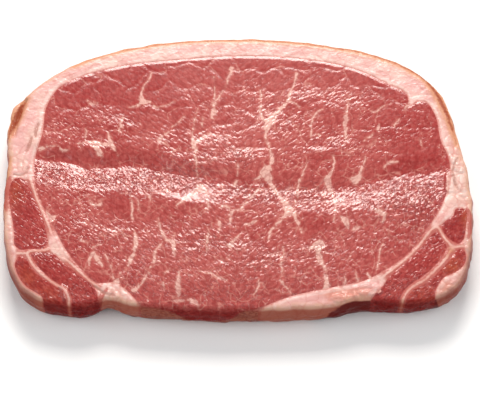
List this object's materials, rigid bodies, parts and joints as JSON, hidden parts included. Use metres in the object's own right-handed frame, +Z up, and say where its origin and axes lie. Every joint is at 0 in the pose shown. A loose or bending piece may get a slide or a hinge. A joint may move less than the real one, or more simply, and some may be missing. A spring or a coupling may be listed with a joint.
{
  "type": "raw ham slice",
  "caption": "Thick raw slice cut across a ham: marbled eye of lean in a rim of fat with rind, smaller muscles at its lower corners, lying flat.",
  "frame": {"origin": "on the table under the middle of the slice's outline", "axes": "+X along the slice's long side, to the right as seen from its front wall; +Y away from the front wall; +Z up out of the cut face"},
  "size_m": [0.212, 0.1361, 0.0197],
  "materials": {
    "fat": "moist raw fat, cream to pale pink, with a thin tan rind",
    "lean": "moist raw lean meat, rosy red with fine pale marbling",
    "dark_lean": "moist raw lean meat, deeper red with little marbling"
  },
  "bodies": {
    "root": {"fat_rim": "fat", "eye_muscle": "lean", "left_upper_muscle": "dark_lean", "left_inner_muscle": "dark_lean", "left_outer_muscle": "dark_lean", "right_upper_muscle": "dark_lean", "right_inner_muscle": "dark_lean", "right_outer_muscle": "dark_lean"}
  },
  "joints": []
}
